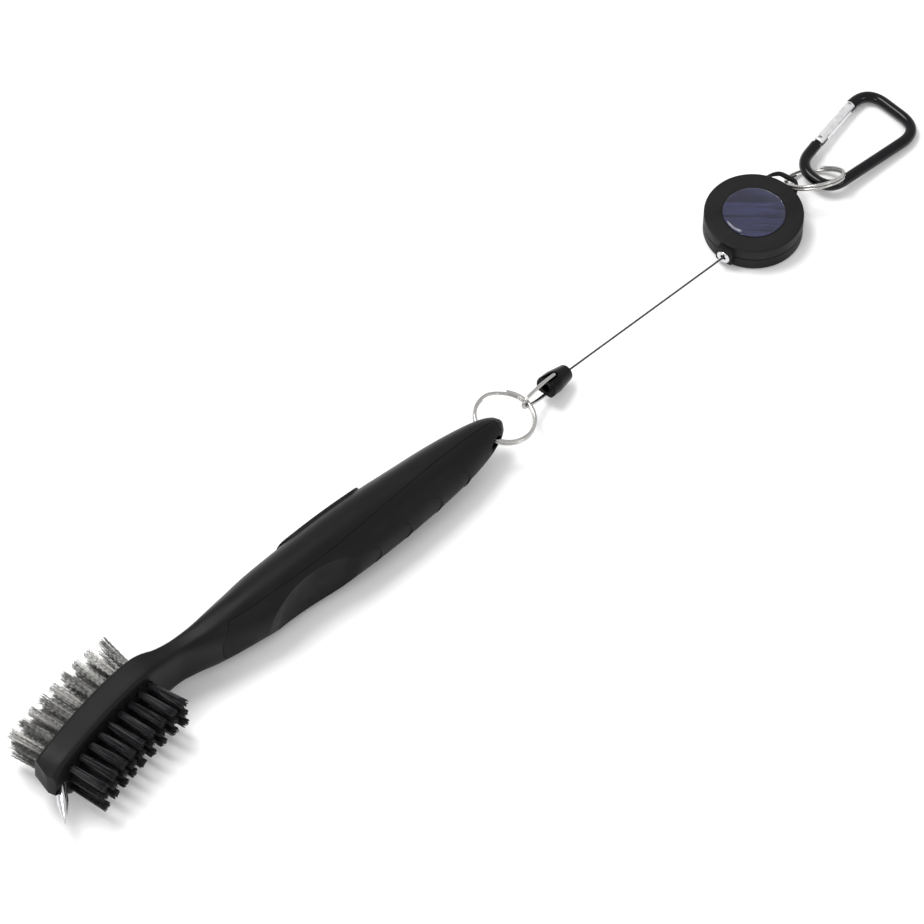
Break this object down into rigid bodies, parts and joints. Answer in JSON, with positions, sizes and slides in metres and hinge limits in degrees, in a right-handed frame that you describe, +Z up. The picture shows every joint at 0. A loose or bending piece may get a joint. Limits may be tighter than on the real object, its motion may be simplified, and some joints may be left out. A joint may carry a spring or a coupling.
{
  "type": "club groove brush",
  "caption": "Two-sided cleaning brush with nylon and steel wire bristles, a groove spike and a rubber grip, tethered to a retractable cord reel with a carabiner.",
  "frame": {"origin": "bottom centre of the whole object as it lies on a flat surface with the cord drawn out straight", "axes": "+X from the brush head to the carabiner, +Y to the steel bristle side, +Z up from the surface it lies on"},
  "size_m": [0.3885, 0.0406, 0.0219],
  "materials": {
    "hard_plastic": "satin moulded black",
    "rubber_grip": "matt soft black",
    "nylon_bristle": "black nylon filament",
    "steel_wire": "crimped bare wire",
    "bright_metal": "polished",
    "nickel": "nickel plated",
    "gloss_plastic": "gloss black",
    "cord_black": "braided black",
    "reel_plastic": "matt black",
    "label_print": "printed label",
    "clear_dome": "clear domed resin",
    "white_plastic": "plain moulded",
    "spring_steel": "blue-grey spring steel",
    "black_anodised": "gloss black anodised",
    "silver_anodised": "satin silver anodised"
  },
  "bodies": {
    "brush": {"brush_body": "hard_plastic", "grip_insert": "rubber_grip", "thumb_pad": "rubber_grip", "groove_spike": "bright_metal", "nylon_row_low": "nylon_bristle", "nylon_row_mid": "nylon_bristle", "nylon_row_high": "nylon_bristle", "steel_row_low": "steel_wire", "steel_row_mid": "steel_wire", "steel_row_high": "steel_wire"},
    "tail_loop": {"tail_ring": "nickel"},
    "bail": {"plug_bail": "nickel"},
    "plug": {"cord_plug": "gloss_plastic", "cord_knot": "cord_black", "zip_cord": "cord_black"},
    "reel": {"reel_front": "reel_plastic", "reel_back": "reel_plastic", "reel_eyelet": "bright_metal", "label_disc": "label_print", "label_dome": "clear_dome", "return_spring": "spring_steel"},
    "spool": {"cord_spool": "white_plastic", "wound_cord": "cord_black"},
    "lug_loop": {"lug_ring": "nickel"},
    "clip": {"clip_frame": "black_anodised", "gate_pin": "nickel"},
    "gate": {"clip_gate": "silver_anodised", "latch_pin": "nickel", "gate_spring": "spring_steel"}
  },
  "joints": [
    {"name": "tail_ring_swing", "type": "hinge", "parent": "brush", "child": "tail_loop", "pos_m": [-0.0039, -0.00227, 0.011], "axis": [0, 1, 0], "range_deg": [-60, 60]},
    {"name": "bail_swing", "type": "hinge", "parent": "tail_loop", "child": "bail", "pos_m": [0.01494, -0.00126, 0.00932], "axis": [-0.1184, 0.993, 0], "range_deg": [-45, 45]},
    {"name": "plug_turn", "type": "hinge", "parent": "bail", "child": "plug", "pos_m": [0.02846, 0.00035, 0.00603], "axis": [0.2335, 0.0278, 0.972], "range_deg": [-20, 20]},
    {"name": "cord_pull", "type": "slide", "parent": "plug", "child": "reel", "axis": [0.9994, -0.0338, 0.0017], "range_m": [-0.0685, 0.54], "deforming": ["zip_cord"]},
    {"name": "spool_spin", "type": "hinge", "parent": "reel", "child": "spool", "pos_m": [0.1227, 0.0025, 0.0046], "axis": [0, 0, 1], "continuous": true},
    {"name": "lug_ring_swing", "type": "hinge", "parent": "reel", "child": "lug_loop", "pos_m": [0.14077, 0.00495, 0.00588], "axis": [0.4286, 0.6961, -0.576], "range_deg": [-30, 10]},
    {"name": "clip_swing", "type": "hinge", "parent": "lug_loop", "child": "clip", "pos_m": [0.15, 0.00135, 0.003], "axis": [0.766, -0.6428, 0], "range_deg": [0, 70]},
    {"name": "gate_open", "type": "hinge", "parent": "clip", "child": "gate", "pos_m": [0.16392, 0.01152, 0.00358], "axis": [0.0576, 0, 0.9983], "range_deg": [-28, 0], "stiffness_Nm_per_rad": 0.08, "springref_deg": 8.59}
  ],
  "couplings": [
    {"joint": "spool_spin", "follows": "cord_pull", "rad_per_m": 95}
  ]
}
